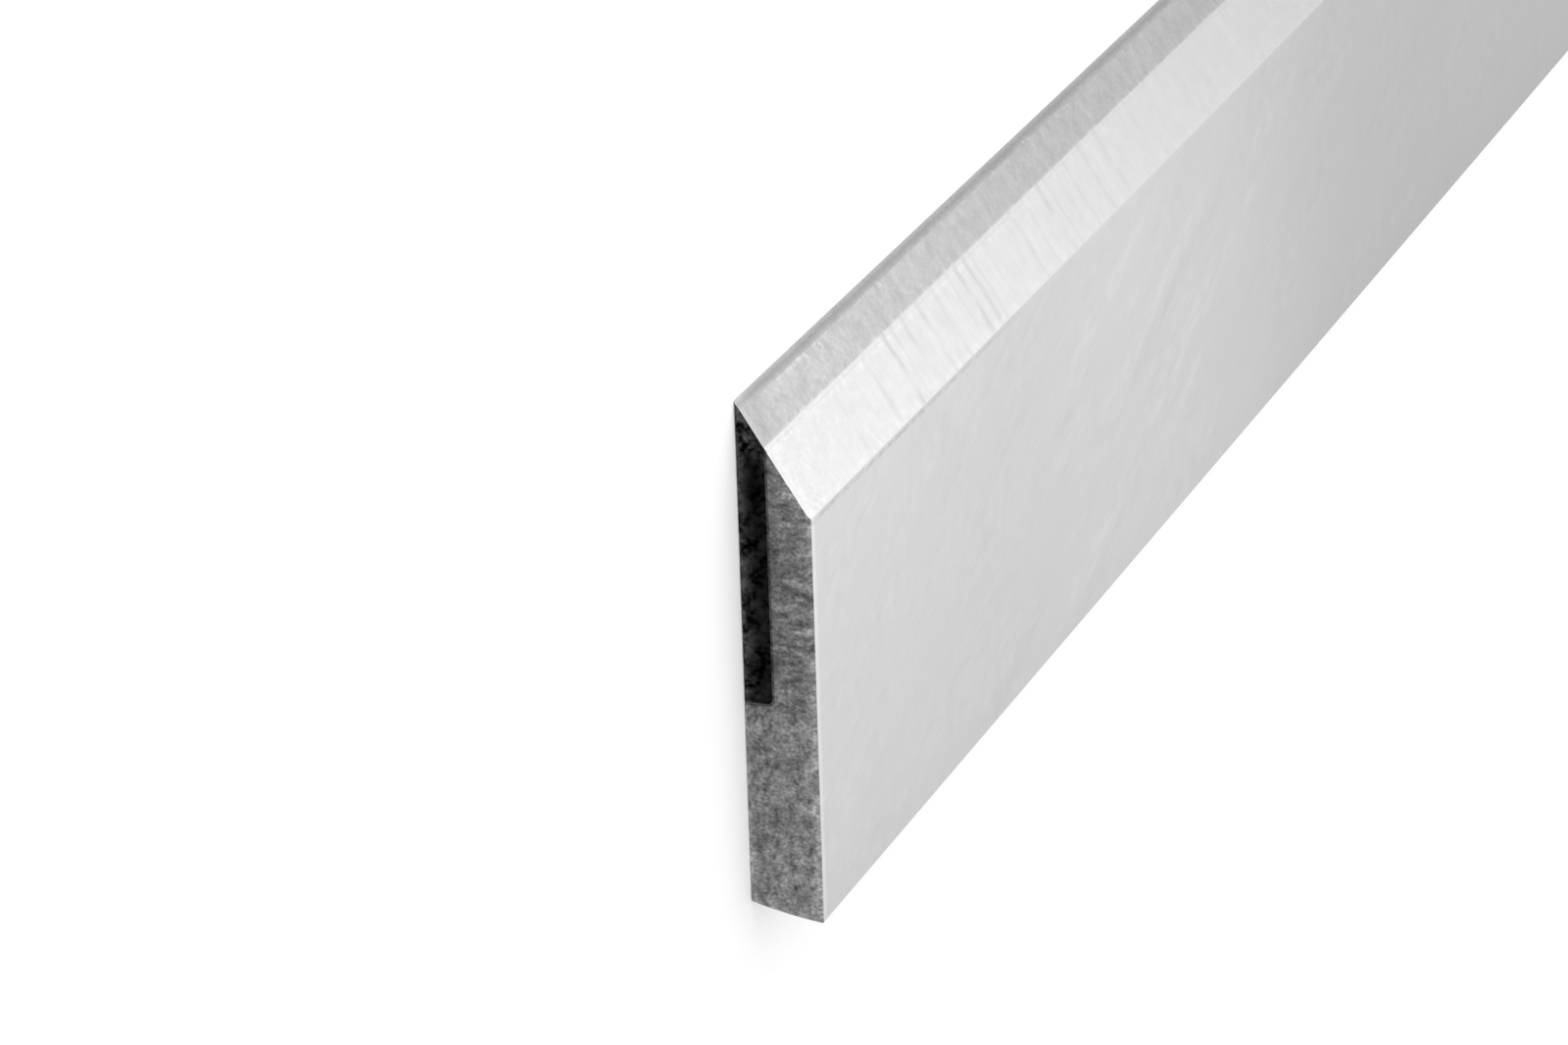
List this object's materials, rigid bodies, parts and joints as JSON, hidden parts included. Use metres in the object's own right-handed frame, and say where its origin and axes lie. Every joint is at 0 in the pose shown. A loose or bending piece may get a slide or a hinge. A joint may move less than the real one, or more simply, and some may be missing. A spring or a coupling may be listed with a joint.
{
  "type": "planer knife",
  "caption": "Long flat steel planer blade with one ground bevel, a carbide strip set flush into its back face along the cutting edge, and a crowned spine.",
  "frame": {"origin": "middle of the knife's length and width, on the back face that it lies on", "axes": "+X along the length, +Y from the spine to the cutting edge, +Z from the back face to the bevelled front face"},
  "size_m": [0.26, 0.0216, 0.003],
  "materials": {
    "ground_steel": "surface-ground, fine grinding lines, ends rough cut and dark",
    "tungsten_carbide": "fine-ground matte grey, darker honed land",
    "silver_solder": "ground flush"
  },
  "bodies": {
    "root": {"steel_body": "ground_steel", "carbide_tip": "tungsten_carbide", "braze_seam": "silver_solder"}
  },
  "joints": []
}
